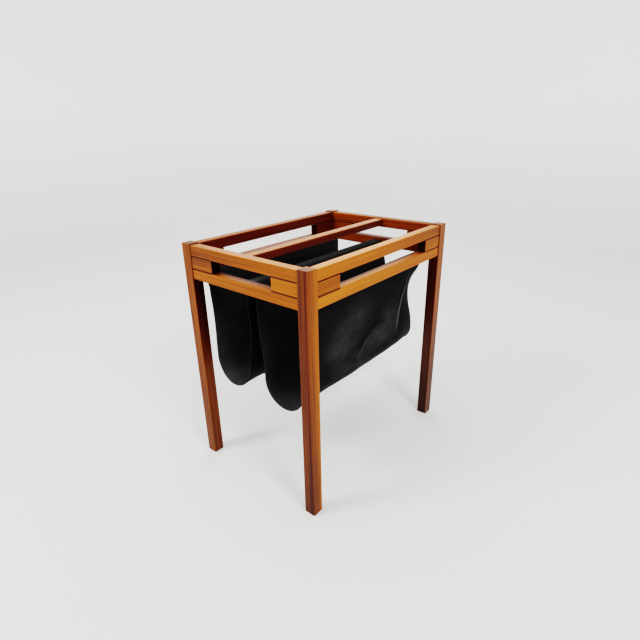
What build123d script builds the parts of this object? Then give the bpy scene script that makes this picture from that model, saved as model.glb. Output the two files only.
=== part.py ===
from build123d import *
import os
from math import atan2, hypot, sin, tan

# A magazine rack: a wooden frame on four square legs carries a leather sling that hangs in two pockets.
# Millimetres, floor at Z = 0, X along the rack, Y across it, with the front on the -Y side.

# Overall size
LENGTH = 426.0
WIDTH = 300.0
HEIGHT = 450.0

# Legs: square in section, standing a little proud of the rails on every side
LEG = 22.0
LEG_PROUD = 2.0
LEG_ROUND = 1.5
FOOT_BEVEL = 1.0

# Two rails on each side, held apart by a spacer block at either end
RAIL_HEIGHT = 19.5
RAIL_THICKNESS = 18.0
RAIL_REVEAL = 2.0
SPACER_HEIGHT = 23.5
SPACER_LENGTH = 56.0
EDGE_ROUND = 1.5

# Bars across the middle, one between the top rails and one, under the leather, between the lower rails
BAR_WIDTH = 20.0
TOP_BAR_HEIGHT = 14.0
TOP_BAR_DROP = 2.0
LOWER_BAR_HEIGHT = 13.0

# Glued dowels
DOWEL_DIAMETER = 6.0
DOWEL_CLEARANCE = 0.1
DOWEL_WEB = 2.0
RAIL_DOWEL_LENGTH = 30.0
SPACER_DOWEL_DEPTH = 9.0
BAR_DOWEL_LENGTH = 20.0
BAR_DOWEL_SPACING = 10.0

# Rods that carry the outer edges of the sling, seated in blind holes of the short lower rails
ROD_DIAMETER = 8.0
ROD_SEAT_DEPTH = 5.0
ROD_CLEARANCE = 0.1
WOOD_UNDER_ROD = 3.0
HEM_GAP = 5.0

# The sling: one sheet of leather
LEATHER = 2.0
LEATHER_CLEARANCE = 0.1
SLING_END_GAP = 3.5
POCKET_DEPTH = 208.0
OUTER_NECK_SHARE = 0.56
INNER_NECK_SHARE = 0.78

# How the leather hangs at stations along the rack, as shares of the sling's length from its middle.
# At each station the outer wall's neck and belly lie so far inside the rod's axis, and the inner wall's
# neck and belly stand so far off the lower bar's side. The front pocket curls in at its right end.
FRONT_FOLDS = (
    (-0.50, 13.4, 7.4, 1.5, 7.0),
    (-0.20, 11.0, 7.0, 2.0, 3.5),
    (0.15, 11.0, 6.0, 3.0, 3.2),
    (0.36, 15.0, 9.5, 6.0, 5.0),
    (0.50, 35.0, 23.0, 12.0, 13.0),
)
BACK_FOLDS = (
    (-0.50, 13.4, 7.4, 1.5, 7.0),
    (-0.20, 11.0, 7.0, 2.0, 3.5),
    (0.15, 11.0, 6.0, 2.0, 3.0),
    (0.36, 12.5, 8.0, 3.0, 3.5),
    (0.50, 18.0, 12.0, 6.0, 6.5),
)

# Levels and planes that follow from the sizes above
RAIL_TOP = HEIGHT - LEG_PROUD
SPACER_TOP = RAIL_TOP - RAIL_HEIGHT
LOWER_RAIL_TOP = SPACER_TOP - SPACER_HEIGHT
LOWER_RAIL_BASE = LOWER_RAIL_TOP - RAIL_HEIGHT
RAIL_INSET = RAIL_REVEAL + RAIL_THICKNESS / 2
RAIL_X = LENGTH / 2 - RAIL_INSET
RAIL_Y = WIDTH / 2 - RAIL_INSET
INNER_X = RAIL_X - RAIL_THICKNESS / 2
INNER_Y = RAIL_Y - RAIL_THICKNESS / 2
LEG_FACE_X = LENGTH / 2 - LEG
LEG_FACE_Y = WIDTH / 2 - LEG
TOP_BAR_TOP = RAIL_TOP - TOP_BAR_DROP
LOWER_BAR_TOP = LOWER_RAIL_BASE + LOWER_BAR_HEIGHT
HEM_RADIUS = ROD_DIAMETER / 2 + ROD_CLEARANCE + LEATHER / 2
ROD_Y = INNER_Y - HEM_GAP - LEATHER / 2 - HEM_RADIUS
ROD_Z = LOWER_RAIL_BASE + WOOD_UNDER_ROD + ROD_DIAMETER / 2
DOWEL_STAGGER = (DOWEL_DIAMETER + DOWEL_WEB) / 2
SLING_LENGTH = 2 * (INNER_X - SLING_END_GAP)

END_SIDES = {"left": -1, "right": 1}
LONG_SIDES = {"front": -1, "back": 1}
LEVELS = {"top_rail": RAIL_TOP, "lower_rail": LOWER_RAIL_TOP}


def timber(size, centre, grain, radius):
    """A straight piece of wood with the edges along its grain rounded."""
    block = Pos(*centre) * Box(*size)
    return fillet(block.edges().filter_by(grain), radius)


def pin(centre, axis, diameter, length):
    """A round pin, or the hole for one, centred on a point."""
    turns = {Axis.X: Rot(0, 90, 0), Axis.Y: Rot(90, 0, 0), Axis.Z: Rot(0, 0, 0)}
    return Pos(*centre) * turns[axis] * Cylinder(diameter / 2, length)


def drilled(piece, holes):
    """The piece less every hole that reaches into it."""
    box = piece.bounding_box()
    near = []
    for hole in holes:
        other = hole.bounding_box()
        gaps = [*(box.min - other.max), *(other.min - box.max)]
        if max(gaps) < 0:
            near.append(hole)
    return piece - near


def make_leg(side_x, side_y):
    """One leg, rounded on its long edges and its top, and bevelled under its foot."""
    centre = (side_x * (LENGTH - LEG) / 2, side_y * (WIDTH - LEG) / 2, HEIGHT / 2)
    leg = timber((LEG, LEG, HEIGHT), centre, Axis.Z, LEG_ROUND)
    leg = fillet(leg.faces().sort_by(Axis.Z)[-1].edges(), LEG_ROUND)
    return chamfer(leg.faces().sort_by(Axis.Z)[0].edges(), FOOT_BEVEL)


def make_long_rail(side_y, top):
    """A rail along the front or back, between two legs."""
    size = (2 * LEG_FACE_X, RAIL_THICKNESS, RAIL_HEIGHT)
    return timber(size, (0, side_y * RAIL_Y, top - RAIL_HEIGHT / 2), Axis.X, EDGE_ROUND)


def make_short_rail(side_x, top):
    """A rail across one end, between two legs."""
    size = (RAIL_THICKNESS, 2 * LEG_FACE_Y, RAIL_HEIGHT)
    return timber(size, (side_x * RAIL_X, 0, top - RAIL_HEIGHT / 2), Axis.Y, EDGE_ROUND)


def spacer_centre(side_x, side_y, on_long_side):
    """Middle of a spacer block, which stands against a leg between a top rail and a lower rail."""
    z = SPACER_TOP - SPACER_HEIGHT / 2
    if on_long_side:
        return (side_x * (LEG_FACE_X - SPACER_LENGTH / 2), side_y * RAIL_Y, z)
    return (side_x * RAIL_X, side_y * (LEG_FACE_Y - SPACER_LENGTH / 2), z)


def make_spacer(side_x, side_y, on_long_side):
    """A spacer block with the edges of its outer end rounded too."""
    centre = spacer_centre(side_x, side_y, on_long_side)
    grain = Axis.X if on_long_side else Axis.Y
    side = side_x if on_long_side else side_y
    size = (SPACER_LENGTH, RAIL_THICKNESS) if on_long_side else (RAIL_THICKNESS, SPACER_LENGTH)
    block = timber((*size, SPACER_HEIGHT), centre, grain, EDGE_ROUND)
    open_end = block.faces().sort_by(grain)[0 if side > 0 else -1]
    return fillet(open_end.edges(), EDGE_ROUND)


def make_bar(top, height):
    """A bar along the middle of the rack, between the two short rails of one level."""
    return timber((2 * INNER_X, BAR_WIDTH, height), (0, 0, top - height / 2), Axis.X, EDGE_ROUND)


def rail_dowels(on_long_side, extra=0.0):
    """Dowels from the rails into the legs. At a corner the two rails' dowels cross at different heights."""
    pins = []
    for level, top in LEVELS.items():
        stagger = DOWEL_STAGGER if on_long_side == (level == "top_rail") else -DOWEL_STAGGER
        z = top - RAIL_HEIGHT / 2 + stagger
        for side_x in END_SIDES.values():
            for side_y in LONG_SIDES.values():
                axis = Axis.X if on_long_side else Axis.Y
                x = side_x * (LEG_FACE_X if on_long_side else RAIL_X)
                y = side_y * (RAIL_Y if on_long_side else LEG_FACE_Y)
                pins.append(pin((x, y, z), axis, DOWEL_DIAMETER + extra, RAIL_DOWEL_LENGTH))
    return pins


def spacer_dowels(extra=0.0):
    """Upright dowels through the spacer blocks into the rails above and below."""
    length = SPACER_HEIGHT + 2 * SPACER_DOWEL_DEPTH
    pins = []
    for side_x in END_SIDES.values():
        for side_y in LONG_SIDES.values():
            for on_long_side in (True, False):
                centre = spacer_centre(side_x, side_y, on_long_side)
                pins.append(pin(centre, Axis.Z, DOWEL_DIAMETER + extra, length))
    return pins


def bar_dowels(extra=0.0):
    """Pairs of dowels from the ends of the two bars into the short rails."""
    middles = (TOP_BAR_TOP - TOP_BAR_HEIGHT / 2, LOWER_BAR_TOP - LOWER_BAR_HEIGHT / 2)
    pins = []
    for z in middles:
        for side_x in END_SIDES.values():
            for side_y in LONG_SIDES.values():
                centre = (side_x * INNER_X, side_y * BAR_DOWEL_SPACING / 2, z)
                pins.append(pin(centre, Axis.X, DOWEL_DIAMETER + extra, BAR_DOWEL_LENGTH))
    return pins


def hanging_rod(side_y, extra=0.0):
    """A rod for one outer edge of the sling, from end to end of its blind holes."""
    length = 2 * (INNER_X + ROD_SEAT_DEPTH)
    return pin((0, side_y * ROD_Y, ROD_Z), Axis.X, ROD_DIAMETER + extra, length)


# A path of the leather's middle line is a list of stops, each a point and a heading in the YZ plane.
OUT, UP, IN, DOWN = (1, 0), (0, 1), (-1, 0), (0, -1)
STRAIGHT = 1e-6


def sway(start, end, heading):
    """The stop half way along an S of two equal arcs between two stops with the same heading."""
    (y0, z0), (y1, z1) = start, end
    chord = (y1 - y0, z1 - z0)
    along = 2 * (heading[0] * chord[0] + heading[1] * chord[1]) / hypot(*chord) ** 2
    turned = (along * chord[0] - heading[0], along * chord[1] - heading[1])
    return ((y0 + y1) / 2, (z0 + z1) / 2), turned


def pocket_stops(neck_inset, belly_inset, neck_stand_off, belly_stand_off):
    """Stops from the hem on the back rod, round the back pocket, to the top of the lower bar."""
    fold = EDGE_ROUND + LEATHER / 2
    bar_side = BAR_WIDTH / 2 + LEATHER_CLEARANCE + LEATHER / 2
    lowest = LOWER_RAIL_BASE - POCKET_DEPTH + LEATHER / 2
    wall = ROD_Z - lowest
    outer_y = ROD_Y - belly_inset
    inner_y = bar_side + belly_stand_off
    radius = (outer_y - inner_y) / 2
    hem_side = (ROD_Y - HEM_RADIUS, ROD_Z)
    outer_neck = (ROD_Y - neck_inset, lowest + OUTER_NECK_SHARE * wall)
    outer_belly = (outer_y, lowest + radius)
    inner_belly = (inner_y, lowest + radius)
    inner_neck = (bar_side + neck_stand_off, lowest + INNER_NECK_SHARE * wall)
    shoulder = (bar_side, LOWER_BAR_TOP + LEATHER / 2 - fold)
    return [
        ((ROD_Y, ROD_Z - HEM_RADIUS), OUT),
        ((ROD_Y + HEM_RADIUS, ROD_Z), UP),
        ((ROD_Y, ROD_Z + HEM_RADIUS), IN),
        (hem_side, DOWN),
        sway(hem_side, outer_neck, DOWN),
        (outer_neck, DOWN),
        sway(outer_neck, outer_belly, DOWN),
        (outer_belly, DOWN),
        ((outer_y - radius, lowest), IN),
        (inner_belly, UP),
        sway(inner_belly, inner_neck, UP),
        (inner_neck, UP),
        sway(inner_neck, shoulder, UP),
        (shoulder, UP),
        ((bar_side - fold, LOWER_BAR_TOP + LEATHER / 2), IN),
    ]


def sling_stops(front_fold, back_fold):
    """Stops of the whole sheet: round the back pocket, over the lower bar and round the front pocket."""
    back = pocket_stops(*back_fold)
    front = pocket_stops(*front_fold)
    mirrored = [((-y, z), (heading_y, -heading_z)) for (y, z), (heading_y, heading_z) in reversed(front)]
    return back + mirrored


def turn_between(heading, next_heading):
    """Signed angle from one heading to the next, positive to the left."""
    cross = heading[0] * next_heading[1] - heading[1] * next_heading[0]
    dot = heading[0] * next_heading[0] + heading[1] * next_heading[1]
    return atan2(cross, dot)


def stretches(stops, offset=0.0):
    """Start, middle, end and turn of each line or arc, moved sideways from the middle line."""
    moved = [((y - offset * dz, z + offset * dy), (dy, dz)) for (y, z), (dy, dz) in stops]
    found = []
    for (start, heading), (end, next_heading) in zip(moved, moved[1:]):
        turn = turn_between(heading, next_heading)
        chord = (end[0] - start[0], end[1] - start[1])
        bulge = tan(turn / 4) / 2
        middle = ((start[0] + end[0]) / 2 + bulge * chord[1], (start[1] + end[1]) / 2 - bulge * chord[0])
        found.append((start, middle, end, turn))
    return found


def path_length(stops):
    """Length of the leather along its middle line."""
    total = 0.0
    for start, _, end, turn in stretches(stops):
        chord = hypot(end[0] - start[0], end[1] - start[1])
        total += chord * (turn / 2) / sin(turn / 2) if abs(turn) > STRAIGHT else chord
    return total


def sling_section(x, stops):
    """The leather's closed outline at one station."""
    left = stretches(stops, LEATHER / 2)
    right = stretches(stops, -LEATHER / 2)
    edges = []
    for start, middle, end, turn in left + right:
        points = [(x, y, z) for y, z in (start, middle, end)]
        edges.append(ThreePointArc(*points) if abs(turn) > STRAIGHT else Line(points[0], points[2]))
    for here, there in ((left[0][0], right[0][0]), (left[-1][2], right[-1][2])):
        edges.append(Line((x, *here), (x, *there)))
    return Wire(edges)


def make_sling():
    """The sheet of leather, lofted along the rack through its stations."""
    sections = []
    for front, back in zip(FRONT_FOLDS, BACK_FOLDS):
        stops = sling_stops(front[1:], back[1:])
        sections.append(sling_section(front[0] * SLING_LENGTH, stops))
        print(f"sling at x = {front[0] * SLING_LENGTH:.1f}: {path_length(stops):.1f} mm of leather")
    return Solid.make_loft(sections)


# Every hole in the wood, taken from the pins that fill them
holes = rail_dowels(True, DOWEL_CLEARANCE)
holes += rail_dowels(False, DOWEL_CLEARANCE)
holes += spacer_dowels(DOWEL_CLEARANCE)
holes += bar_dowels(DOWEL_CLEARANCE)
holes += [hanging_rod(side_y, ROD_CLEARANCE) for side_y in LONG_SIDES.values()]

wood = {}
for level, top in LEVELS.items():
    for name, side in LONG_SIDES.items():
        wood[f"{level}_{name}"] = make_long_rail(side, top)
    for name, side in END_SIDES.items():
        wood[f"{level}_{name}"] = make_short_rail(side, top)
for name_y, side_y in LONG_SIDES.items():
    for name_x, side_x in END_SIDES.items():
        wood[f"leg_{name_y}_{name_x}"] = make_leg(side_x, side_y)
        wood[f"spacer_{name_y}_{name_x}"] = make_spacer(side_x, side_y, True)
        wood[f"spacer_{name_x}_{name_y}"] = make_spacer(side_x, side_y, False)
wood["top_bar"] = make_bar(TOP_BAR_TOP, TOP_BAR_HEIGHT)
wood["lower_bar"] = make_bar(LOWER_BAR_TOP, LOWER_BAR_HEIGHT)

nodes = {name: drilled(piece, holes) for name, piece in wood.items()}
for name, side_y in LONG_SIDES.items():
    nodes[f"hanging_rod_{name}"] = hanging_rod(side_y)
nodes["long_rail_dowels"] = Compound(rail_dowels(True))
nodes["short_rail_dowels"] = Compound(rail_dowels(False))
nodes["spacer_dowels"] = Compound(spacer_dowels())
nodes["bar_dowels"] = Compound(bar_dowels())
nodes["sling"] = make_sling()

os.makedirs("parts", exist_ok=True)
for name, shape in nodes.items():
    export_step(shape, f"parts/{name}.step")
print(f"{len(nodes)} nodes")
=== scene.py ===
# %% [markdown]
# A magazine rack, dressed in Blender
#
# The rack is a small wooden frame on four square legs. A single sheet of black leather hangs in it in two
# pockets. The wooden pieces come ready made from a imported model, at their real size and place, so this
# lesson gives them their oiled wood. The leather is soft, so it is modelled here from a flat sheet.
#
# Everything is in metres. The floor is at Z = 0, X runs along the rack, and the front looks along -Y.

# %% Load the frame
from cmath import phase, rect
from math import cos, pi, radians, remainder, sin

import bpy
import numpy as np
from mathutils import Matrix, Vector


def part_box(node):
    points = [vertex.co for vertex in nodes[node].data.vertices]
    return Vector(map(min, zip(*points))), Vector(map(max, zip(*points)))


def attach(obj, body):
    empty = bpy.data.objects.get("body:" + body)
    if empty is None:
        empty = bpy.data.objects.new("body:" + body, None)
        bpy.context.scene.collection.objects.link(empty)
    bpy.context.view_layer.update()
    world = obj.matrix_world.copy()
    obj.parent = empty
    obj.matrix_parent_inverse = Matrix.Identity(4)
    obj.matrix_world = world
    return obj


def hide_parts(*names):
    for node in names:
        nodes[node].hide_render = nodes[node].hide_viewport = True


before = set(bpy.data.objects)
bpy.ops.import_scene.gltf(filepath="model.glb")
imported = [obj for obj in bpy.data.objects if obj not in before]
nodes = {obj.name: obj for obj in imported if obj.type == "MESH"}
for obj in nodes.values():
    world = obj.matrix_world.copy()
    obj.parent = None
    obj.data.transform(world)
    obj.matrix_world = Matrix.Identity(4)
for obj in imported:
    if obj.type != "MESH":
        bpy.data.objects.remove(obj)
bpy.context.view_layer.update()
MM = 0.001


def start_afresh():
    """Leaves edit mode and deselects everything, so that the next operator acts on nothing old."""
    if bpy.context.mode != "OBJECT":
        bpy.ops.object.mode_set(mode="OBJECT")
    bpy.ops.object.select_all(action="DESELECT")


start_afresh()
print(len(nodes), "ready-made pieces")

# %% [markdown]
# The camera
#
# A camera could be aimed at a target by a constraint, but then its roll is lost. A camera's own Z axis
# points backwards, out of its lens, so the direction backwards is worked out from the angle round the rack
# and the angle above the horizon, and a small roll about that axis levels the picture as it was taken. The
# focal length was found in pixels of a square picture, and a lens in millimetres is the same share of the
# sensor's width.

# %% Camera
CAMERA_PLACE = Vector((-0.67043, -0.562488, 0.637557))
CAMERA_AZIMUTH = radians(-49.479)
CAMERA_ELEVATION = radians(22.892)
CAMERA_ROLL = radians(-1.105)
PICTURE_PIXELS = 640
FOCAL_PIXELS = 460.722
SENSOR = 36.0

backwards = Vector((
    sin(CAMERA_AZIMUTH) * cos(CAMERA_ELEVATION),
    -cos(CAMERA_AZIMUTH) * cos(CAMERA_ELEVATION),
    sin(CAMERA_ELEVATION),
))
bpy.ops.object.camera_add()
camera = bpy.context.object
aim = backwards.to_track_quat("Z", "Y").to_matrix().to_4x4()
camera.matrix_world = Matrix.Translation(CAMERA_PLACE) @ aim @ Matrix.Rotation(CAMERA_ROLL, 4, "Z")
camera.data.sensor_width = SENSOR
camera.data.lens = FOCAL_PIXELS / PICTURE_PIXELS * SENSOR
bpy.context.scene.camera = camera
print(f"lens {camera.data.lens:.2f} mm")

# %% [markdown]
# Shader maths in Python
#
# A finish is built from many small nodes. They could be wired one at a time, but that hides the formula. So
# a value here wraps a node's socket, and Python's own operators add the Math nodes. A mask can then be
# written as 1 - wear * 0.5, and reads like the sum that it is.

# %% A value in a material
class Value:
    """A number on its way through a material. Python's operators add Math nodes to it."""

    def __init__(self, finish, socket):
        self.finish = finish
        self.socket = socket

    def __add__(self, other):
        return self.finish.maths("ADD", self, other)

    def __sub__(self, other):
        return self.finish.maths("SUBTRACT", self, other)

    def __rsub__(self, other):
        return self.finish.maths("SUBTRACT", other, self)

    def __mul__(self, other):
        return self.finish.maths("MULTIPLY", self, other)

    def __truediv__(self, other):
        return self.finish.maths("DIVIDE", self, other)

    __radd__ = __add__
    __rmul__ = __mul__


# %% A finish in the making
class Finish:
    """A material in the making. Its methods add nodes and give back their sockets as values."""

    def __init__(self, name):
        self.material = bpy.data.materials.new(name)
        self.material.use_nodes = True
        self.tree = self.material.node_tree
        self.shader = self.tree.nodes["Principled BSDF"]

    def plug(self, socket, value):
        if isinstance(value, Value):
            self.tree.links.new(value.socket, socket)
        else:
            socket.default_value = value

    def node(self, kind, settings, inputs, output=0):
        """Any node: its settings first, then its inputs by name or number."""
        made = self.tree.nodes.new("ShaderNode" + kind)
        stops = settings.pop("stops", None)
        for name, setting in settings.items():
            setattr(made, name, setting)
        if stops:
            while len(made.color_ramp.elements) < len(stops):
                made.color_ramp.elements.new(1.0)
            for element, (position, colour) in zip(made.color_ramp.elements, stops):
                element.position = position
                element.color = colour
        for name, value in inputs.items():
            self.plug(made.inputs[name], value)
        if isinstance(output, tuple):
            return [Value(self, made.outputs[one]) for one in output]
        return Value(self, made.outputs[output])

    def maths(self, operation, first, second=0.0, clamp=False):
        return self.node("Math", {"operation": operation, "use_clamp": clamp}, {0: first, 1: second})

    def ramp(self, value, stops):
        return self.node("ValToRGB", {"stops": stops}, {"Fac": value})

    def fade(self, value, start, end):
        """Nothing at start, rising smoothly to one at end."""
        limits = {"Value": value, "From Min": start, "From Max": end}
        return self.node("MapRange", {"interpolation_type": "SMOOTHSTEP"}, limits)

    def mix(self, share, first, second, blend="MIX"):
        settings = {"data_type": "RGBA", "blend_type": blend}
        return self.node("Mix", settings, {0: share, 6: first, 7: second}, 2)

    def stain(self, colour, share, tint):
        """Darkens a colour by a tint, as far as the share says."""
        return self.mix(share, colour, tint, "MULTIPLY")

    def here(self):
        """Object coordinates."""
        return self.node("TexCoord", {}, {}, "Object")

    def height(self):
        return self.node("SeparateXYZ", {}, {0: self.here()}, "Z")

    def place(self, scale=(1, 1, 1), shift=(0, 0, 0)):
        """Object coordinates, stretched and then shifted."""
        return self.node("Mapping", {}, {"Vector": self.here(), "Scale": scale, "Location": shift})

    def noise(self, where, scale, detail=2.0, roughness=0.5):
        grain = {"Vector": where, "Scale": scale, "Detail": detail, "Roughness": roughness}
        return self.node("TexNoise", {}, grain, "Fac")

    def mark(self, name):
        """A number that the mesh keeps for each of its points."""
        return self.node("Attribute", {"attribute_name": name}, {}, "Fac")

    def dot(self, first, second):
        return self.node("VectorMath", {"operation": "DOT_PRODUCT"}, {0: first, 1: second}, "Value")

    def length(self, vector):
        return self.node("VectorMath", {"operation": "LENGTH"}, {0: vector}, "Value")

    def bump(self, height, distance, strength=1.0):
        sizes = {"Height": height, "Distance": distance, "Strength": strength}
        return self.node("Bump", {}, sizes, "Normal")

    def finish(self, **sockets):
        """Sets or links the shader's own sockets, named with underscores for spaces."""
        for name, value in sockets.items():
            self.plug(self.shader.inputs[name.replace("_", " ")], value)
        return self.material


def same_colour(level):
    """A grey."""
    return (level, level, level, 1)


# %% [markdown]
# The studio
#
# The rack stands on a pale floor that curves up into a wall all round, so no line shows where one ends and
# the other starts. A sheet with one bent edge would do for a single picture, but the rack is looked at from
# all sides. So a disc is extruded outwards along a quarter circle, ring by ring. The paint also glows a
# little, as a light table does, and more so up the wall, which keeps the shadow under the rack faint.

# %% Floor and wall
FLOOR_RADIUS = 2.1
COVE_RADIUS = 0.5
COVE_STEPS = 10
WALL_HEIGHT = 1.5
FLOOR_SIDES = 96
FLOOR_COLOUR = (0.58, 0.58, 0.575, 1)
FLOOR_GLOW = (0.150, 0.149, 0.147, 1)
WALL_GLOW = (0.360, 0.358, 0.354, 1)
GLOW_HEIGHT = 0.8


def pale_paint():
    """Matt pale paint with a faint glow of its own, which grows up the wall."""
    paint = Finish("studio_paint")
    return paint.finish(
        Base_Color=FLOOR_COLOUR,
        Roughness=0.85,
        Specular_IOR_Level=0.15,
        Emission_Color=paint.mix(paint.fade(paint.height(), 0.0, GLOW_HEIGHT), FLOOR_GLOW, WALL_GLOW),
        Emission_Strength=1.0,
    )


def lay_floor():
    """A disc whose rim is extruded up through a quarter circle and then straight up."""
    start_afresh()
    bpy.ops.mesh.primitive_circle_add(vertices=FLOOR_SIDES, radius=FLOOR_RADIUS, fill_type="NGON")
    floor = bpy.context.object
    floor.name = "studio_floor"
    bpy.ops.object.mode_set(mode="EDIT")
    bpy.ops.mesh.select_mode(type="EDGE")
    bpy.ops.mesh.select_all(action="SELECT")
    turns = [pi / 2 * step / COVE_STEPS for step in range(COVE_STEPS + 1)]
    rings = [(FLOOR_RADIUS + COVE_RADIUS * sin(t), COVE_RADIUS * (1 - cos(t))) for t in turns]
    rings.append((rings[-1][0], rings[-1][1] + WALL_HEIGHT))
    for (radius, height), (next_radius, next_height) in zip(rings, rings[1:]):
        bpy.ops.mesh.extrude_edges_move(TRANSFORM_OT_translate={"value": (0, 0, next_height - height)})
        grow = next_radius / radius
        bpy.ops.transform.resize(value=(grow, grow, 1), center_override=(0, 0, 0))
    bpy.ops.object.mode_set(mode="OBJECT")
    bpy.ops.object.shade_smooth()
    floor.data.materials.append(pale_paint())
    return floor


studio_floor = lay_floor()
print("floor", tuple(round(side, 2) for side in studio_floor.dimensions))

# %% [markdown]
# The lamps
#
# A spot or a sun would draw hard shadows, so every lamp is a square that glows all over, and its size says
# how soft its shadow is. A very large one hangs overhead. Two smaller ones, in front and on the left, throw
# the two faint shadows that run from each foot, and a wide one behind puts a sheen on the tops of the
# rails.

# %% Lamps
LAMPS = {
    "overhead_lamp": ((0.1, 0.1, 2.4), (0, 0, 0), 2.6, 26),
    "front_lamp": ((-0.58, -1.61, 1.74), (0, 0, 0.2), 0.55, 22),
    "left_lamp": ((-1.52, 0.77, 1.74), (0, 0, 0.2), 0.55, 22),
    "back_lamp": ((1.5, 1.35, 1.3), (0, 0, 0.4), 1.4, 7),
}
ROOM_LIGHT = 0.35


def hang_lamp(name, place, target, size, watts):
    """A square soft lamp at a place, turned to a target."""
    start_afresh()
    bpy.ops.object.light_add(type="AREA", location=place)
    lamp = bpy.context.object
    lamp.name = name
    lamp.data.shape = "SQUARE"
    lamp.data.size = size
    lamp.data.energy = watts
    lamp.visible_camera = False
    lamp.rotation_mode = "QUATERNION"
    lamp.rotation_quaternion = (Vector(place) - Vector(target)).to_track_quat("Z", "Y")


for lamp_name, lamp_look in LAMPS.items():
    hang_lamp(lamp_name, *lamp_look)
world = bpy.data.worlds.new("studio_world")
bpy.context.scene.world = world
world.use_nodes = True
world.node_tree.nodes["Background"].inputs["Color"].default_value = (1, 1, 1, 1)
world.node_tree.nodes["Background"].inputs["Strength"].default_value = ROOM_LIGHT
bpy.context.scene.view_settings.view_transform = "Filmic"
bpy.context.scene.view_settings.look = "Very High Contrast"
print(len(LAMPS), "lamps,", sum(watts for place, target, size, watts in LAMPS.values()), "watts in all")

# %% [markdown]
# Oiled wood
#
# The frame is a warm, straight-grained hardwood with an oil finish. A picture of wood wrapped round a piece
# wouldn't agree with itself where a face meets an end, so the grain is a pattern that runs right through
# the piece. Each piece was sawn from its own plank, so each has its own tone and its own place in the tree.
# The growth rings are circles about the heart of the tree, which lies outside the piece, so a face shows
# them as long lines and an end shows them as arcs. Noise stretched along the grain adds streaks, fibres and
# pores.

# %% Wood colours
GOLD = (0.46, 0.155, 0.014, 1)
AMBER = (0.34, 0.102, 0.009, 1)
CHESTNUT = (0.190, 0.052, 0.006, 1)
MAHOGANY = (0.066, 0.013, 0.005, 1)
WOOD_TONES = ((0.0, GOLD), (0.36, AMBER), (0.70, CHESTNUT), (1.0, MAHOGANY))
END_GRAIN = (0.75, 0.75, 0.75, 1)
PORE_SHADE = same_colour(0.35)

# %% A plank and its grain
SLOW_SCALES = (18, 2.2)
STREAK_SCALES = (230, 4.5)
FIBRE_SCALES = (1500, 26)
PORE_SCALES = (2600, 70)
RING_SPACING = 3.2 * MM
RING_WANDER = 5.0
SEED_STEPS = (1.0, 1.7, 2.3)
UP = (0, 0, 1)


class Plank(Finish):
    """The finish of one piece of wood. Grain is the axis it runs along, heart is where the tree's middle lies
    from the piece's own, and another seed is another part of the tree."""

    def __init__(self, name, box, grain, heart, seed):
        super().__init__(name)
        self.low, self.high = box
        self.middle = (self.low + self.high) / 2
        self.half = (self.high - self.low) / 2
        self.grain = grain
        self.shift = [seed * step for step in SEED_STEPS]
        self.slow = self.stretched(SLOW_SCALES, 2)
        self.streaks = self.stretched(STREAK_SCALES, 4, 0.6)
        self.fibres = self.stretched(FIBRE_SCALES, 3, 0.6)
        self.pores = self.fade(self.stretched(PORE_SCALES, 2), 0.60, 0.72)
        self.late = self.late_wood(heart)
        self.where = self.here()
        self.spots = self.node("SeparateXYZ", {}, {0: self.where}, ("X", "Y", "Z"))
        sides = zip(self.spots, self.middle, self.half)
        self.depths = [half - self.maths("ABSOLUTE", spot - middle) for spot, middle, half in sides]
        self.normal = self.node("NewGeometry", {}, {}, "Normal")
        self.upward = self.facing(UP, 0.6, 0.9)
        along_grain = self.dot(self.normal, [float(axis == grain) for axis in range(3)])
        self.ends = self.fade(self.maths("ABSOLUTE", along_grain), 0.75, 0.95)

    def stretched(self, scales, detail, roughness=0.5):
        """Noise drawn out along the grain, from its scales across and along."""
        across, along = scales
        scale = [along if axis == self.grain else across for axis in range(3)]
        return self.noise(self.place(scale, self.shift), 1.0, detail, roughness)

    def late_wood(self, heart):
        """The dark late wood of the growth rings."""
        flat = [float(axis != self.grain) for axis in range(3)]
        centre = [-(middle + away) * keep for middle, away, keep in zip(self.middle, heart, flat)]
        radius = self.length(self.place(flat, centre))
        ring = self.maths("FRACT", radius / RING_SPACING + self.slow * RING_WANDER)
        return self.fade(ring, 0.45, 0.95)

    def facing(self, direction, start, end):
        """One on the faces that look in a direction, fading out on those that turn away."""
        return self.fade(self.dot(self.normal, direction), start, end)


# %% Colour of the grain
STREAK_SWING = 0.90
SLOW_SWING = 0.35
LATE_SWING = 0.15
FIBRE_SWING = 0.30


def grain_colour(wood, tone, lean, handled):
    """Tone runs from 0, golden, to 1, mahogany, and lean is how it rises per metre across the piece.
    The last number paints the top paler, a painted highlight."""
    leaning = wood.dot(wood.where, lean) - sum(m * rise for m, rise in zip(wood.middle, lean))
    # The top is painted paler here, a painted highlight.
    shade = leaning - wood.upward * handled + tone
    shade = shade + (wood.streaks - 0.5) * STREAK_SWING + (wood.slow - 0.5) * SLOW_SWING
    shade = shade + wood.late * LATE_SWING + (wood.fibres - 0.5) * FIBRE_SWING
    return wood.ramp(shade, WOOD_TONES)


# %% [markdown]
# Marks of age and use, painted shade and painted highlight
#
# New wood all over would look like plastic. The faces that look into the rack are darker and redder, partly
# old finish and partly painted shade, and on the legs more so high up, where the rails above shade them. One
# leg has a band of dark heartwood. The tops of the front and left rails are painted paler, a painted
# highlight, and given more gloss, and the long edges are paler in patches, partly wear and partly painted
# highlight. The rail tops in the hand slots get painted shade along their inner edges and in one corner, and
# so do the spacers' ends there, and painted shade lies in the grooves where two pieces meet. Each mark is a
# mask, worked out from where a point lies in its piece and which way its face looks, and it stains the colour
# that it gets from the mark before.

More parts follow.
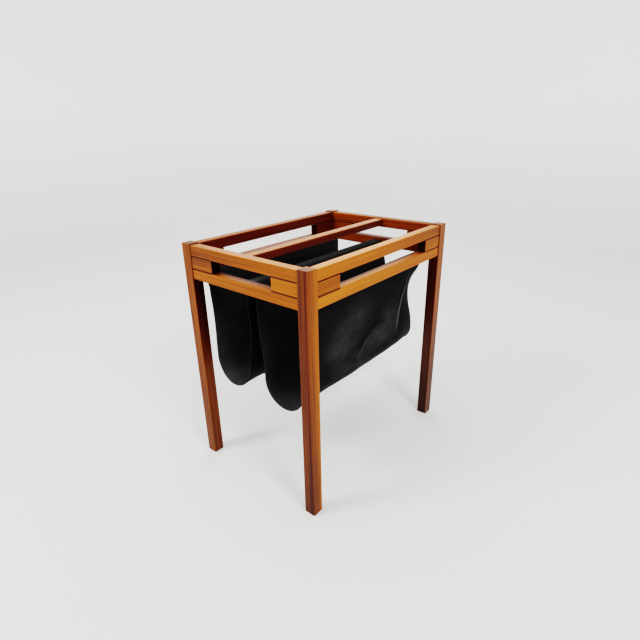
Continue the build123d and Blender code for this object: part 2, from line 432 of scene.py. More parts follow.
# %% Inward painted shade and old finish, and heartwood
# The tints below darken the faces that look into the rack: partly old finish, partly painted shade.
INWARD_SHADE_AND_FINISH = (0.28, 0.12, 0.55, 1)
BROWN_SHADE_AND_FINISH = (0.37, 0.13, 1.00, 1)
RED_SHADE_AND_FINISH = (0.88, 0.64, 1.00, 1)
INWARD_SHADE_LOW, INWARD_SHADE_HIGH = 0.12, 0.36
HEART_STREAK = (0.62, 0.34, 0.36, 1)
HEART_WANDER = 4 * MM


def paint_inward_shade_and_finish(wood, colour, shade_and_patina):
    """Darkens the faces that look in each listed direction, partly old finish and partly painted shade.
    Each entry gives how much lies low down and high up, and its tint.
    """
    for direction, below, above, old in shade_and_patina:
        # Painted shade, partly old finish, which on the legs grows towards the top, where the rails above
        # shade them.
        left = below + wood.fade(wood.spots[2], INWARD_SHADE_LOW, INWARD_SHADE_HIGH) * (above - below)
        colour = wood.stain(colour, wood.facing(direction, 0.45, 0.85) * left, old)
    return colour


def draw_heartwood(wood, colour, direction, axis, line, width):
    """A dark band on the face that looks in a direction, across an axis, about a line."""
    away = wood.maths("ABSOLUTE", wood.spots[axis] - line + (wood.slow - 0.5) * HEART_WANDER)
    band = (1 - wood.fade(away, width * 0.3, width * 1.3)) * wood.facing(direction, 0.3, 0.8)
    return wood.stain(colour, band, HEART_STREAK)


# %% Edges paler in patches, and painted shade in the slots and grooves
# The long edges are paler in patches, partly wear, partly painted highlight.
EDGE_WEAR_AND_LIGHT_NEAR, EDGE_WEAR_AND_LIGHT_FAR = 0.9 * MM, 2.6 * MM
# Painted shade on the rail tops in the hand slots, along the inner edge and in one corner.
SLOT_SHADE = (0.24, 0.12, 0.08, 1)
SLOT_EDGE_NEAR, SLOT_EDGE_FAR = 3.0 * MM, 9.5 * MM
SLOT_CORNER = 30 * MM
# Painted shade in the grooves where two pieces meet, and near the ends of a piece.
GROOVE_SHADE = (0.20, 0.12, 0.07, 1)
GROOVE_NEAR, GROOVE_REACH = 0.2 * MM, 2.6 * MM
GROOVE_START = 0.4 * MM
END_GROOVE_NEAR, END_GROOVE_REACH = 0.1 * MM, 1.4 * MM
END_GROOVE_SHADE = 0.8


def edges_rubbed_and_lit(wood):
    """How far the long edges are paler, in patches: partly wear, partly painted highlight."""
    first, second = [depth for axis, depth in enumerate(wood.depths) if axis != wood.grain]
    edge = 1 - wood.fade(first + second, EDGE_WEAR_AND_LIGHT_NEAR, EDGE_WEAR_AND_LIGHT_FAR)
    return edge * wood.fade(wood.streaks, 0.35, 0.65)


def shade_slot(wood, colour, reach, axis, inner):
    """Painted shade on the top of a rail under a hand slot, along its inner edge and in the corner at the
    slot's end, from how far the slot reaches, the axis across the rail, and the inner edge's place."""
    corner = wood.fade(wood.spots[wood.grain], reach - SLOT_CORNER, reach)
    from_edge = wood.maths("ABSOLUTE", wood.spots[axis] - inner)
    edge = 1 - wood.fade(from_edge, SLOT_EDGE_NEAR, SLOT_EDGE_FAR)
    return wood.stain(colour, wood.maths("MAXIMUM", corner, edge) * wood.upward, SLOT_SHADE)


def shade_grooves(wood, colour, grooves, ends_meet):
    """Painted shade in the joints. Grooves lists the faces, 1 above and -1 below, that meet another piece,
    and how far from the middle; the ends get it too where they meet.
    """
    grain = wood.grain
    for face, start in grooves:
        gap = wood.high.z - wood.spots[2] if face > 0 else wood.spots[2] - wood.low.z
        from_middle = wood.half[grain] - wood.depths[grain]
        beyond = wood.fade(from_middle, start - GROOVE_START, start + GROOVE_START)
        joint_shade = (1 - wood.fade(gap, GROOVE_NEAR, GROOVE_REACH)) * beyond
        colour = wood.stain(colour, joint_shade, GROOVE_SHADE)
    if ends_meet:
        joint_shade = 1 - wood.fade(wood.depths[grain], END_GROOVE_NEAR, END_GROOVE_REACH)
        colour = wood.stain(colour, joint_shade * END_GROOVE_SHADE, GROOVE_SHADE)
    return colour


# %% Wood finish
def oiled_wood(
    name, box, grain, heart, seed, tone,
    lean=(0, 0, 0), shade_and_patina=(), streak=None, slot=None, grooves=(), ends_meet=True,
    end_shade=END_GRAIN, end_gloss=1.0, polish=1.0, handled=0.0,
):
    """Wood for one piece. Polish scales its gloss, and end gloss is what the cut ends keep of that."""
    wood = Plank(name, box, grain, heart, seed)
    colour = grain_colour(wood, tone, lean, handled)
    colour = paint_inward_shade_and_finish(wood, colour, shade_and_patina)
    if streak:
        colour = draw_heartwood(wood, colour, *streak)
    # Cut ends are darker; on the spacers this paints shade in the hand slots.
    colour = wood.stain(colour, wood.ends, end_shade)
    rubbed_and_lit = edges_rubbed_and_lit(wood)
    # Paler long edges: partly wear, partly painted highlight.
    colour = wood.mix(rubbed_and_lit * 0.35, colour, GOLD)
    colour = wood.stain(colour, wood.pores * 0.45, PORE_SHADE)
    # Painted shade in the hand slots.
    if slot:
        colour = shade_slot(wood, colour, *slot)
    # Painted shade in the joints.
    colour = shade_grooves(wood, colour, grooves, ends_meet)

    relief = wood.fibres * 0.5 - wood.pores * 0.9 + wood.late * 0.25
    oil = (0.12 - wood.pores * 0.10) * (1 - wood.ends * (1 - end_gloss)) * polish
    rough = 0.36 + wood.fibres * 0.16 + wood.pores * 0.1 - rubbed_and_lit * 0.06
    return wood.finish(
        Base_Color=colour,
        Roughness=rough + wood.ends * (0.4 - 0.4 * end_gloss),
        Normal=wood.bump(relief, 0.12 * MM, 0.5),
        Specular_IOR_Level=0.18 * polish,
        Coat_Weight=oil + wood.upward * (handled * 0.3),
        Coat_Roughness=0.22,
    )


def dress(node, material):
    """Gives a ready-made piece its finish."""
    nodes[node].data.materials.clear()
    nodes[node].data.materials.append(material)


# %% [markdown]
# Legs, rails, spacers and bars
#
# The legs stand and the rails, spacers and bars lie, and each has its grain along its length, as a joiner
# would saw it. One look for all of them would be quicker, but no two pieces of the real rack are alike. So
# each leg has its own look in a table. A rail, spacer or bar finds its look by its name and by the side of
# the rack it is on: a tone, and how that rises per metre along the piece.

# %% Wood of the legs
FRONT, BACK, LEFT, RIGHT = (0, -1, 0), (0, 1, 0), (-1, 0, 0), (1, 0, 0)
ALONG_X, ALONG_Y, ALONG_Z = range(3)
# A negative Z lean darkens a leg towards its foot: partly its wood, partly painted shade under light from
# above. The inward entries paint shade, partly old finish, on the faces that look into the rack; the back
# left leg's second front entry paints its top near black.
LEG_LOOKS = {
    "leg_front_left": {
        "tone": 0.56,
        "lean": (-26, 0, -0.28),
        "heart": (0.05, -0.05, 0),
        "shade_and_patina": ((BACK, 0.7, 0.95, INWARD_SHADE_AND_FINISH), (RIGHT, 0.7, 0.95, INWARD_SHADE_AND_FINISH)),
        "streak": (LEFT, ALONG_Y, -145.5 * MM, 3.2 * MM),
    },
    "leg_front_right": {
        "tone": 0.77,
        "lean": (0, 0, -0.95),
        "heart": (-0.06, 0.04, 0),
        "shade_and_patina": ((BACK, 0.7, 0.95, INWARD_SHADE_AND_FINISH), (LEFT, 0.75, 1.0, INWARD_SHADE_AND_FINISH)),
        "polish": 1.5,
    },
    "leg_back_left": {
        "tone": 0.69,
        "lean": (0, 0, -0.4),
        "heart": (0.06, 0.03, 0),
        "shade_and_patina": (
            (FRONT, 0.3, 1.0, INWARD_SHADE_AND_FINISH), (FRONT, 0.0, 0.5, INWARD_SHADE_AND_FINISH), (RIGHT, 0.7, 0.95, INWARD_SHADE_AND_FINISH),
        ),
    },
    "leg_back_right": {
        "tone": 0.66,
        "lean": (0, 0, -0.4),
        "heart": (-0.04, -0.06, 0),
        "shade_and_patina": ((FRONT, 0.7, 0.95, INWARD_SHADE_AND_FINISH), (LEFT, 0.7, 0.95, INWARD_SHADE_AND_FINISH)),
    },
}
LEG_SEED, LEG_SEED_STEP = 3.1, 7.3

for number, (leg, look) in enumerate(LEG_LOOKS.items()):
    seed = LEG_SEED + LEG_SEED_STEP * number
    dress(leg, oiled_wood(f"wood_{leg}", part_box(leg), ALONG_Z, seed=seed, ends_meet=False, **look))
print(len(LEG_LOOKS), "legs")

# %% Tones of the rails, spacers and bars
RAIL_TONES = {
    "top_rail_front": (0.34, 1.2),
    "top_rail_left": (0.49, 0.8),
    "top_rail_right": (0.58, -1.4),
    "lower_rail_front": (0.13, 0.6),
    "lower_rail_left": (0.35, 0.3),
    # The lower right rail darkens towards its front end: painted shade behind the leather's front wall.
    "lower_rail_right": (0.72, -2.2),
    "spacer_front_left": (0.44, 0),
    "spacer_front_right": (0.39, 0),
    "spacer_left_front": (0.24, 0),
    "spacer_left_back": (0.58, 0),
}
USUAL_TONES = {"front": 0.32, "back": 0.52, "left": 0.32, "right": 0.58, "middle": 0.32}
INWARD = {"front": (BACK,), "back": (FRONT,), "left": (RIGHT,), "right": (LEFT,), "middle": (FRONT, BACK)}
INWARD_SHADES_AND_FINISHES = {"back": BROWN_SHADE_AND_FINISH, "right": RED_SHADE_AND_FINISH}
RAIL_INWARD_SHADE, BAR_INWARD_SHADE = 0.9, 1.0
# The spacers' ends in the hand slots get painted shade: near black on the left and front, redder and paler at
# the back and right.
SLOT_END_SHADE = (0.16, 0.08, 0.16, 1)
REDDER_SLOT_END_SHADE = (0.45, 0.24, 0.40, 1)
SLOT_END_SHADES = {"front": SLOT_END_SHADE, "back": REDDER_SLOT_END_SHADE, "left": SLOT_END_SHADE, "right": REDDER_SLOT_END_SHADE}
POLISH = {"front": 0.9, "back": 0.5, "left": 0.9, "right": 0.45, "middle": 1.0}
# The tops of the front and left rails get more gloss and are painted paler, a painted highlight.
TOP_GLOSS_AND_HIGHLIGHT = {"front": 0.45, "left": 0.30}
HEARTS = {ALONG_X: (0, 0.05, -0.07), ALONG_Y: (0.06, 0, -0.06)}
TIMBER_SEED, TIMBER_SEED_STEP = 9.5, 1.9

# %% Wood of the rails, spacers and bars
def timber_look(node):
    """What a rail's, spacer's or bar's finish depends on, from its name and its box."""
    kind, *rest = node.split("_")
    side = rest[0] if kind == "spacer" else rest[1] if len(rest) > 1 else "middle"
    grain, across = (ALONG_Y, ALONG_X) if side in ("left", "right") else (ALONG_X, ALONG_Y)
    tone, rise = RAIL_TONES.get(node, (USUAL_TONES[side], 0))
    # Faces that look into the rack get painted shade, partly old finish.
    left = BAR_INWARD_SHADE if side == "middle" else RAIL_INWARD_SHADE
    old = INWARD_SHADES_AND_FINISHES.get(side, INWARD_SHADE_AND_FINISH)
    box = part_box(node)
    look = {
        "box": box,
        "grain": grain,
        "heart": HEARTS[grain],
        "tone": tone,
        "lean": [rise if axis == grain else 0 for axis in range(3)],
        "shade_and_patina": [(direction, left, left, old) for direction in INWARD[side]],
        "polish": POLISH[side],
    }
    if kind == "spacer":
        look.update(grooves=((1, 0), (-1, 0)), end_shade=SLOT_END_SHADES[side], end_gloss=0.0)
    elif side != "middle":
        last_spacer = f"spacer_{side}_right" if grain == ALONG_X else f"spacer_{side}_back"
        slot_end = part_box(last_spacer)[0][grain]
        if kind == "top":
            look.update(grooves=((-1, slot_end),), handled=TOP_GLOSS_AND_HIGHLIGHT.get(side, 0.0))
        else:
            inner = min(box[0][across], box[1][across], key=abs)
            look.update(grooves=((1, slot_end),), slot=(slot_end, across, inner))
    return look


kinds = ("top", "lower", "spacer")
timbers = [node for node in nodes if node.startswith(kinds) and not node.endswith("dowels")]
for number, node in enumerate(timbers):
    seed = TIMBER_SEED + TIMBER_SEED_STEP * number
    dress(node, oiled_wood(f"wood_{node}", seed=seed, **timber_look(node)))
print(len(timbers), "rails, spacers and bars")

# %% [markdown]
# Bare wood of the pins
#
# The dowels are hidden in their holes and the rods in the hems, so they need no marks of use. They are
# pale, smooth turned wood, and one stretched noise gives their fibres.

# %% Pins
PALE_WOOD, PALER_WOOD = (0.50, 0.31, 0.15, 1), (0.66, 0.45, 0.24, 1)
PIN_FIBRE_SCALES = (900, 20)
PIN_GRAINS = {
    "hanging_rod_front": ALONG_X,
    "hanging_rod_back": ALONG_X,
    "long_rail_dowels": ALONG_X,
    "short_rail_dowels": ALONG_Y,
    "spacer_dowels": ALONG_Z,
    "bar_dowels": ALONG_X,
}


def bare_wood(name, grain):
    """Pale smooth wood for the dowels and rods, with fine straight fibres."""
    wood = Finish(name)
    across, along_grain = PIN_FIBRE_SCALES
    fibres = wood.noise(wood.place([along_grain if axis == grain else across for axis in range(3)]), 1.0, 3)
    return wood.finish(
        Base_Color=wood.mix(fibres, PALE_WOOD, PALER_WOOD),
        Roughness=0.5 + fibres * 0.2,
        Normal=wood.bump(fibres, 0.1 * MM, 0.4),
    )


for pin, grain in PIN_GRAINS.items():
    dress(pin, bare_wood(f"bare_{pin}", grain))
print(len(PIN_GRAINS), "groups of pins")

# %% [markdown]
# The sling's hanging line
#
# One rectangle of leather makes both pockets. Each end is folded round a rod and sewn down, the middle lies
# over the lower bar, and two bays hang between. A cloth simulation would hang it too, but it chooses its
# own folds, and this leather has folds that it has kept for years. Thick leather bends in gentle arcs, so a
# cut across the rack is drawn as a chain of arcs through a few places: the rod, a neck where the wall leans
# in, a belly, the bottom, and up to the bar. A point of the cut is a complex number, Y + Z i, because a
# turn is then only a change of its angle. Both bays are drawn as the back one, and the front one is
# mirrored later.

# %% Places that the leather hangs from
LEATHER = 2.0 * MM
LEATHER_CLEARANCE = 0.1 * MM

rod_low, rod_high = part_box("hanging_rod_back")
rod = complex((rod_low.y + rod_high.y) / 2, (rod_low.z + rod_high.z) / 2)
hem_radius = (rod_high.z - rod_low.z) / 2 + LEATHER_CLEARANCE + LEATHER / 2
bar_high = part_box("lower_bar")[1]
bar_side = bar_high.y + LEATHER_CLEARANCE + LEATHER / 2
bar_top = bar_high.z + LEATHER / 2
sling_low, sling_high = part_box("sling")
pocket_floor = sling_low.z + LEATHER / 2
wall_height = rod.imag - pocket_floor
print(f"walls {wall_height / MM:.0f} mm high, hem {hem_radius / MM:.1f} mm round the rod")

# %% A chain of arcs
HEADING_DOWN, HEADING_UP = -pi / 2, pi / 2
NEARLY_STRAIGHT = 1e-6


def follow_arcs(stops, heading, counts):
    """Points along a chain of arcs through the stops. Each arc leaves as the last one arrived."""
    line = [stops[0]]
    for start, end, count in zip(stops, stops[1:], counts):
        chord = end - start
        turn = remainder(phase(chord) - heading, 2 * pi)
        for step in range(1, count + 1):
            share = step / count
            reach = sin(turn * share) / sin(turn) if abs(turn) > NEARLY_STRAIGHT else share
            line.append(start + rect(abs(chord) * reach, heading + turn * share))
        heading += 2 * turn
    return np.array(line)


# %% The cut through one bay
WALL_STEPS = (12, 12, 10, 10, 20, 20, 15, 15, 7, 7, 3, 3)
BAR_FOLD_RADIUS = 2.5 * MM
OUTER_NECK_SHARE = 0.56
INNER_NECK_SHARE = 0.78


def hanging_wall(outer_neck, outer_belly, inner_neck, inner_belly, lift):
    """The cut from the rod's inner side, round the pocket's floor and up to the middle of the bar. The outer
    neck and belly lie so far inside the rod's axis, the inner ones stand so far off the bar's side, and lift
    raises the pocket's floor."""
    rod_side = rod - hem_radius
    neck = complex(rod.real - outer_neck, pocket_floor + OUTER_NECK_SHARE * wall_height)
    radius = (rod.real - outer_belly - bar_side - inner_belly) / 2
    belly = complex(rod.real - outer_belly, pocket_floor + lift + radius)
    bottom = belly - complex(radius, radius)
    rise = belly - 2 * radius
    waist = complex(bar_side + inner_neck, pocket_floor + INNER_NECK_SHARE * wall_height)
    shoulder = complex(bar_side, bar_top - BAR_FOLD_RADIUS)
    crest = complex(bar_side - BAR_FOLD_RADIUS, bar_top)
    stops = [rod_side, (rod_side + neck) / 2, neck, (neck + belly) / 2, belly, bottom, rise]
    stops += [(rise + waist) / 2, waist, (waist + shoulder) / 2, shoulder, crest, complex(0, bar_top)]
    return follow_arcs(stops, HEADING_DOWN, WALL_STEPS)


# %% The hem round a rod
LOOP_STEPS = (8, 8)
TAIL_STEPS = 4
CLOSING_STEPS = 6
TAIL_END = 23.0 * MM
TAIL_TOP = 13.5 * MM
TAIL_GAP = 0.15 * MM
NEAR_ROD = slice(sum(WALL_STEPS[:2]))
TRIAL_INSETS = (12, 7, 2, 4, 0)


def hem_loop(wall):
    """The cut's start: a tail that lies flat on the wall's outer face, opens, and goes over the rod."""
    levels = rod.imag - np.linspace(TAIL_END, TAIL_TOP, TAIL_STEPS + 1)
    near_rod = wall[NEAR_ROD]
    tail = np.interp(levels, near_rod.imag[::-1], near_rod.real[::-1]) + LEATHER + TAIL_GAP
    share = np.linspace(0, 1, CLOSING_STEPS + 1)
    swing = share * share * (3 - 2 * share)
    opening = tail[-1] + (rod.real + hem_radius - tail[-1]) * swing
    opening_levels = levels[-1] + TAIL_TOP * share
    round_rod = [rod + hem_radius, rod + complex(0, hem_radius), rod - hem_radius]
    over = follow_arcs(round_rod, HEADING_UP, LOOP_STEPS)
    return np.concatenate([tail + 1j * levels, (opening + 1j * opening_levels)[1:], over[1:]])


trial_wall = hanging_wall(*(inset * MM for inset in TRIAL_INSETS))
trial_hem = hem_loop(trial_wall)
trial_length = 2 * np.abs(np.diff(np.concatenate([trial_hem, trial_wall[1:]]))).sum()
print(f"{len(trial_hem) + len(trial_wall) - 1} points a bay, {trial_length / MM:.0f} mm from tail to tail")

# %% [markdown]
# Folds along the sling
#
# One cut, extruded along the rack, would be a stiff trough. So the cut changes along the rack: its four
# insets are given at five stations, and a smooth curve runs through them. At the right end the front wall
# curls in behind a sharp crease, so its two outer insets also grow there, from a knee that lies further
# right near the top. The floors lift between the sling's two free edges. Slack waves and folds then push
# the walls out or in by a few millimetres. A fold is a line on the wall. Dividing by that line as a complex
# number gives the share along it and the distance from it in one step.

# %% Insets along the rack
COLUMNS = 128
STATIONS = (-0.50, -0.20, 0.15, 0.36, 0.50)
INSETS = {
    "back": {
        "outer_neck": (9.0, 10.5, 11, 12.5, 18),
        "outer_belly": (7.4, 7, 6, 8, 12),
        "inner_neck": (0, 1.5, 2, 3, 6),
        "inner_belly": (7, 3.5, 3, 3.5, 6.5),
    },
    "front": {
        "outer_neck": (13.4, 11, 11, 11.5, 12),
        "outer_belly": (7.4, 7, 6, 6.4, 7),
        "inner_neck": (1.5, 2, 3, 6, 12),
        "inner_belly": (9.2, 3.5, 3.2, 5, 13),
    },
}

along = np.linspace(sling_low.x, sling_high.x, COLUMNS + 1)


def smooth_inset(values):
    """A smooth curve through the values at the five stations."""
    curve = np.polyfit(STATIONS, values, len(STATIONS) - 1)
    return np.polyval(curve, along / (sling_high.x - sling_low.x)) * MM


# %% The curl at the right end, and the lifted floors
CURL_NECK, CURL_NECK_START = 23 * MM, 131 * MM
CURL_BELLY, CURL_BELLY_START = 16 * MM, 98 * MM
CURL_KNEE = 0.10
CURL_POWER = 1.15
END_LIFT = {"back": 1.3 * MM, "front": -1.0 * MM}
MIDDLE_LIFT = {"back": 5.8 * MM, "front": 2.2 * MM}
END_DROOP = 12 * MM


def curl(start):
    """Nothing left of the start, then rising to one at the sling's right end."""
    share = (along - start) / (sling_high.x - start)
    bent = share + np.sqrt(share * share + CURL_KNEE * CURL_KNEE)
    return (bent / bent[-1]) ** CURL_POWER


def floor_lift(side):
    """The pocket's floor is lifted along the rack, and droops at the sling's two free edges."""
    from_end = sling_high.x - np.abs(along)
    return MIDDLE_LIFT[side] + (END_LIFT[side] - MIDDLE_LIFT[side]) * np.exp(-from_end / END_DROOP)


def hang_bay(side):
    """A bay's walls: a row for each point of the cut, and a column for each place along the rack."""
    insets = {name: smooth_inset(values) for name, values in INSETS[side].items()}
    if side == "front":
        insets["outer_neck"] += CURL_NECK * curl(CURL_NECK_START)
        insets["outer_belly"] += CURL_BELLY * curl(CURL_BELLY_START)
    insets["lift"] = floor_lift(side)
    return np.array([hanging_wall(**dict(zip(insets, cut))) for cut in zip(*insets.values())]).T


walls = {side: hang_bay(side) for side in INSETS}
print({side: wall.shape for side, wall in walls.items()})

# %% Slack waves
SLACK_STOPS = (0, 12, 44, 64, 84, 114, 128, 134)
OUTER_SLACK = (0, 1, 1, 0.2, 0, 0, 0, 0)
INNER_SLACK = (0, 0, 0, 0.2, 0.8, 0.8, 0, 0)
WAVES = {
    "back": ((0.9, 0.19, 0.46, 2.2), (0.5, 0.087, -0.28, 0.4), (0.35, 0.051, 0.17, 4.0)),
    "front": ((0.8, 0.22, 0.52, 0.7), (0.45, 0.097, -0.30, 2.4), (0.3, 0.055, 0.19, 5.1)),
}

row_numbers = np.arange(sum(WALL_STEPS) + 1)
outer_slack = np.interp(row_numbers, SLACK_STOPS, OUTER_SLACK)[:, None]
inner_slack = np.interp(row_numbers, SLACK_STOPS, INNER_SLACK)[:, None]


def slack_waves(side):
    """Slow waves over a bay's walls. Each has a height, its lengths along and down the wall, and a start."""
    waves = sum(
        height * np.sin(2 * pi * (along / length + walls[side].imag / depth) + start)
        for height, length, depth, start in WAVES[side]
    )
    return waves * (outer_slack + inner_slack) * MM


pushes = {side: slack_waves(side) for side in walls}
print({side: f"waves up to {np.abs(push).max() / MM:.1f} mm" for side, push in pushes.items()})

# %% The back bay's left end
BELLY_FIRST, BELLY_LAST, BELLY_PUSH = 88, 116, 4.5 * MM
SWAY_FIRST, SWAY_LAST, SWAY_PUSH = 50, 84, 2.6 * MM
LEFT_END_REACH = 40 * MM


def through_rows(first, last):
    """Nothing up to the first row, rising evenly to one at the last."""
    return np.clip((row_numbers - first) / (last - first), 0, 1)


def left_end_folds():
    """Near the left end the inner wall bellies out towards the bar, and the floor sways to the outside."""
    belly = np.sin(pi * through_rows(BELLY_FIRST, BELLY_LAST)) ** 2
    sway = np.sin(2 * pi * through_rows(SWAY_FIRST, SWAY_LAST))
    near_end = np.exp(-(along - sling_low.x) / LEFT_END_REACH)
    return (BELLY_PUSH * belly + SWAY_PUSH * sway)[:, None] * near_end


pushes["back"] += left_end_folds()
print(f"back bay now pushed up to {pushes['back'].max() / MM:.1f} mm")

# %% The front bay's crest and fold
CREST = (complex(97, 235) * MM, complex(142, 345) * MM)
CREST_BOW = 4 * MM
CREST_PUSH, CREST_REACH = 1.5 * MM, 5 * MM
CREST_WEAR_AND_HIGHLIGHT_WIDTH = 2.8 * MM
CURL_SHADE_START, CURL_SHADE_REACH = 2 * MM, 7 * MM
CURL_SHADE_LOW, CURL_SHADE_HIGH = 225 * MM, 260 * MM
FOLD = (complex(-52, 215) * MM, complex(62, 270) * MM)
FOLD_BOW = 18 * MM
FOLD_WIDTH = 8 * MM
VALLEY_OFF, VALLEY_PUSH, VALLEY_SHADE = 10 * MM, -2.2 * MM, 0.6
RIDGE_OFF, RIDGE_PUSH = -2 * MM, 2.4 * MM
FOLD_HIGHLIGHT, FOLD_HIGHLIGHT_OFF, FOLD_HIGHLIGHT_WIDTH = 0.45, 1 * MM, 2.4 * MM


def crease(spots, ends, bow):
    """How far spots lie from a line that bows out, and a weight that fades out at the line's ends."""
    start, end = ends
    ratio = (spots - start) / (end - start)
    share = np.clip(ratio.real, 0, 1)
    weight = np.sqrt(np.clip(np.sin(share * pi), 0, 1))
    return ratio.imag * abs(end - start) - bow * 4 * share * (1 - share), weight


def band(distance, width):
    """One on a line, fading out on both sides of it."""
    return np.exp(-(distance / width) ** 2)


def front_folds():
    """How far the front wall's crest and fold push it out, how much wear and painted highlight lie along
    them, and how much painted shade lies behind the crest and in the fold's valley.
    """
    level = walls["front"].imag
    from_crest, crest = crease(along + 1j * level, CREST, CREST_BOW)
    from_fold, fold = crease(along + 1j * level, FOLD, FOLD_BOW)
    valley = band(from_fold - VALLEY_OFF, FOLD_WIDTH) * fold
    ridge = band(from_fold - RIDGE_OFF, FOLD_WIDTH) * fold
    push = CREST_PUSH * np.exp(-np.abs(from_crest) / CREST_REACH) * crest
    push += VALLEY_PUSH * valley + RIDGE_PUSH * ridge
    # Painted highlight along the crest, partly wear, and along the fold's lit side.
    rubbed_and_lit = band(from_crest, CREST_WEAR_AND_HIGHLIGHT_WIDTH) * crest
    rubbed_and_lit += FOLD_HIGHLIGHT * band(from_fold - FOLD_HIGHLIGHT_OFF, FOLD_HIGHLIGHT_WIDTH) * fold
    # Painted shade behind the crest, on the curl, and in the fold's valley.
    behind = np.clip((-from_crest - CURL_SHADE_START) / CURL_SHADE_REACH, 0, 1)
    behind *= np.clip((level - CURL_SHADE_LOW) / (CURL_SHADE_HIGH - CURL_SHADE_LOW), 0, 1)
    return [amount * outer_slack for amount in (push, rubbed_and_lit, behind + VALLEY_SHADE * valley)]


front_push, front_wear_and_highlight, front_fold_shade = front_folds()
pushes["front"] += front_push
for side, push in pushes.items():
    tangent = np.gradient(walls[side], axis=0)
    walls[side] = walls[side] + push * 1j * tangent / np.abs(tangent)
    print(side, f"pushed {push.min() / MM:.1f} to {push.max() / MM:.1f} mm")

# %% [markdown]
# The leather sheet
#
# The sheet could be lofted as one thick solid, but leather is a sheet, and a sheet keeps its flat UV map.
# So it starts as a flat grid. Its rows are laid along the cuts, from the back hem over the bar to the front
# hem. Two marks go with its points. The first is wear at the cut edges, painted highlight along the fold over
# the bar, with wear as well at its left end, and painted highlight along the creases, with wear as well on
# the crest. The second is painted shade behind the crest and in a fold's valley.

# %% Rows of the sheet
def lay_bay(side):
    """One bay's rows, from the tail to the bar."""
    hems = np.array([hem_loop(wall) for wall in walls[side].T]).T
    return np.concatenate([hems, walls[side][1:]])


back_lines, front_lines = lay_bay("back"), lay_bay("front")
lines = np.concatenate([back_lines, -np.conj(front_lines[-2::-1])])


def lay_marks(front_marks):
    """Marks of the front wall in the order of the sheet's rows, from the bar to the rod."""
    marks = np.zeros(lines.shape)
    from_bar = front_marks[-2:0:-1]
    marks[len(back_lines):len(back_lines) + len(from_bar)] = from_bar
    return marks


print(f"{len(lines)} rows, of which {len(back_lines)} hang at the back")

# %% Wear and painted highlight
# Wear at the raw edges, and painted highlight on the fold over the bar, partly wear at its left end.
RAW_EDGE_RUB, RAW_EDGE_WIDTH = 0.05, 3 * MM
BAR_HIGHLIGHT, BAR_HIGHLIGHT_WIDTH, BAR_HIGHLIGHT_DEPTH = 0.08, 10 * MM, 12 * MM
BAR_END_WEAR_AND_HIGHLIGHT, BAR_END_REACH = 2.4, 30 * MM

raw_edge = np.exp(-(sling_high.x - np.abs(along)) / RAW_EDGE_WIDTH)
over_bar = band(lines.real, BAR_HIGHLIGHT_WIDTH) * (lines.imag > bar_top - BAR_HIGHLIGHT_DEPTH)
left_end = np.exp(-(along - sling_low.x) / BAR_END_REACH)
worn_and_lit = np.clip(lay_marks(front_wear_and_highlight) + RAW_EDGE_RUB * raw_edge + BAR_HIGHLIGHT * over_bar, 0, 1)
worn_and_lit += BAR_END_WEAR_AND_HIGHLIGHT * left_end * over_bar
print(f"{(worn_and_lit > 0.2).mean():.1%} of the leather is worn")

# %% Lay the sheet
start_afresh()
bpy.ops.mesh.primitive_grid_add(x_subdivisions=COLUMNS, y_subdivisions=len(lines) - 1, size=1)
sling = bpy.context.object
sling.name = "leather_sling"
places = np.stack([np.broadcast_to(along, lines.shape), lines.real, lines.imag], axis=-1)
sling.data.vertices.foreach_set("co", places.ravel())
for mark, amounts in (("worn_and_lit", worn_and_lit), ("fold_shade", lay_marks(front_fold_shade))):
    attribute = sling.data.attributes.new(mark, "FLOAT", "POINT")
    attribute.data.foreach_set("value", amounts.ravel())
sling.data.update()

# %% [markdown]
# Black leather
#
# The smooth side looks out, with a pebbled grain and fine wrinkles. Dust lies on it in patches, and the same
# patches paint highlight where a wall bulges towards the light. The fleshy side looks into the pockets,
# duller, and is painted paler towards their floors, as painted light. The cut edge is raw. The three differ
# only in a few numbers, so one function makes them all. A Solidify modifier gives the sheet its thickness to
# both sides and hands each side its own finish, and a fine bevel breaks the cut edge.

# %% Leather colours
BLACK_HIDE = (0.0120, 0.0120, 0.0145, 1)
BLACK_FLESH = (0.0250, 0.0245, 0.0250, 1)
# Painted light: the fleshy side is painted paler low in the pockets.
LIT_LOW_FLESH = (0.0500, 0.0490, 0.0500, 1)
RAW_EDGE = (0.026, 0.025, 0.025, 1)
LOW_LEATHER, HIGH_LEATHER = 0.24, 0.38
# Colour of dust, and of the painted highlight on the bulges.
DUST_AND_HIGHLIGHT = (0.070, 0.070, 0.075, 1)
# Colour of wear and of painted highlight.
RUBBED_AND_LIT_HIDE = (0.105, 0.105, 0.110, 1)
# Tint of the mottling and of the painted shade in the folds.
MOTTLE_AND_FOLD_SHADE = same_colour(0.6)
# Patches of dust that also paint highlight where a wall bulges towards the light.
DUST_AND_HIGHLIGHT_PATCHES = (
    ((-25, -109, 320), (68, 60, 52), 0.30),
    ((-62, -109, 288), (72, 60, 56), 0.45),
    ((-98, -109, 268), (56, 60, 54), 0.42),
    ((28, -109, 250), (70, 60, 34), 0.60),
    ((80, -109, 272), (60, 60, 60), 0.42),
    ((-55, -109, 224), (80, 60, 22), 0.42),
    ((-40, -112, 240), (22, 60, 15), 0.40),
    ((-60, 109, 310), (80, 60, 60), 0.45),
    ((85, 109, 255), (80, 60, 50), 0.50),
)


